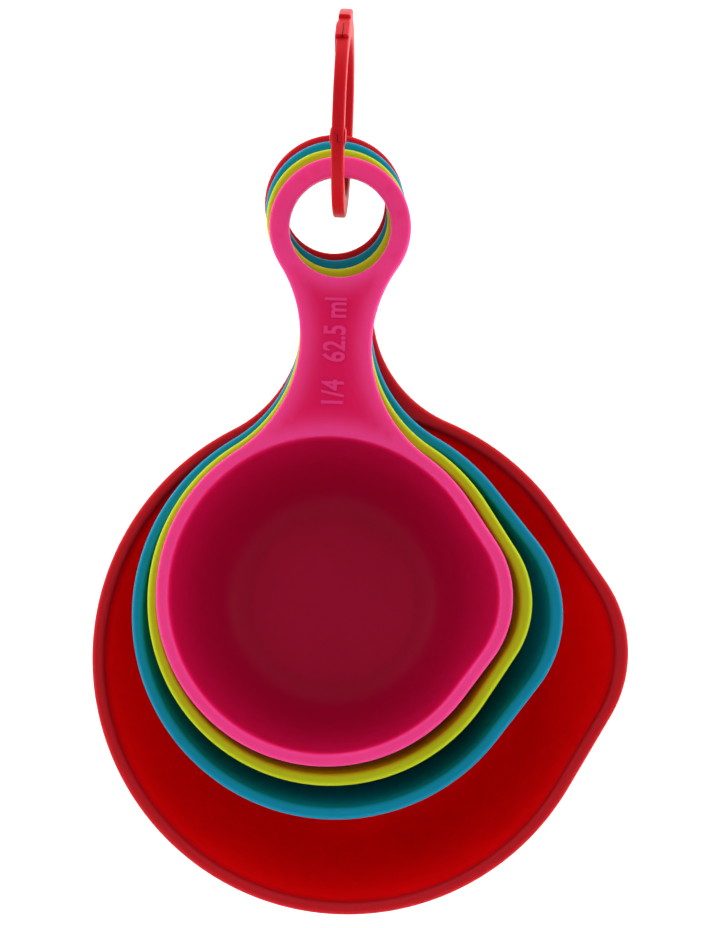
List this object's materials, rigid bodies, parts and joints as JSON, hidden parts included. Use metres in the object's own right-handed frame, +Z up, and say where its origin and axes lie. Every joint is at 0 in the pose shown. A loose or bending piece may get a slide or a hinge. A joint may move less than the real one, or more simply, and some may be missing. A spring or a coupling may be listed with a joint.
{
  "type": "measuring cup set",
  "caption": "Nested measuring cups with pour lips, round-headed flat handles and a hinged snap ring that holds them as a hanging stack.",
  "frame": {"origin": "the point inside the top of the ring by which the set hangs", "axes": "+Z up when hanging, -Y the way the cups open, +X the way they pour"},
  "size_m": [0.1057, 0.0699, 0.1744],
  "materials": {
    "plastic_pink": "semi-gloss moulded plastic, pink",
    "plastic_lime": "semi-gloss moulded plastic, lime green",
    "plastic_teal": "semi-gloss moulded plastic, teal",
    "plastic_red": "semi-gloss moulded plastic, deep red",
    "plastic_ring": "satin moulded plastic, red"
  },
  "bodies": {
    "ring": {"ring_body": "plastic_ring", "ring_hinge_pin": "plastic_ring"},
    "gate": {"ring_gate": "plastic_ring"},
    "full_cup": {"cup_full": "plastic_red"},
    "half_cup": {"cup_half": "plastic_teal"},
    "third_cup": {"cup_third": "plastic_lime"},
    "quarter_cup": {"cup_quarter": "plastic_pink"}
  },
  "joints": [
    {"name": "gate_hinge", "type": "hinge", "parent": "ring", "child": "gate", "pos_m": [-0.00006, -0.01755, -0.01744], "axis": [0.9996, 0, -0.0297], "range_deg": [0, 35]},
    {"name": "full_cup_swing", "type": "hinge", "parent": "ring", "child": "full_cup", "pos_m": [0, 0, -0.0156], "axis": [-1, 0, 0], "range_deg": [-15, 12]},
    {"name": "half_cup_spread", "type": "hinge", "parent": "full_cup", "child": "half_cup", "pos_m": [0, 0, -0.0156], "axis": [-1, 0, 0], "range_deg": [0, 25]},
    {"name": "third_cup_spread", "type": "hinge", "parent": "half_cup", "child": "third_cup", "pos_m": [0, 0, -0.0156], "axis": [-1, 0, 0], "range_deg": [0, 25]},
    {"name": "quarter_cup_spread", "type": "hinge", "parent": "third_cup", "child": "quarter_cup", "pos_m": [0, 0, -0.0156], "axis": [-1, 0, 0], "range_deg": [0, 25]}
  ]
}
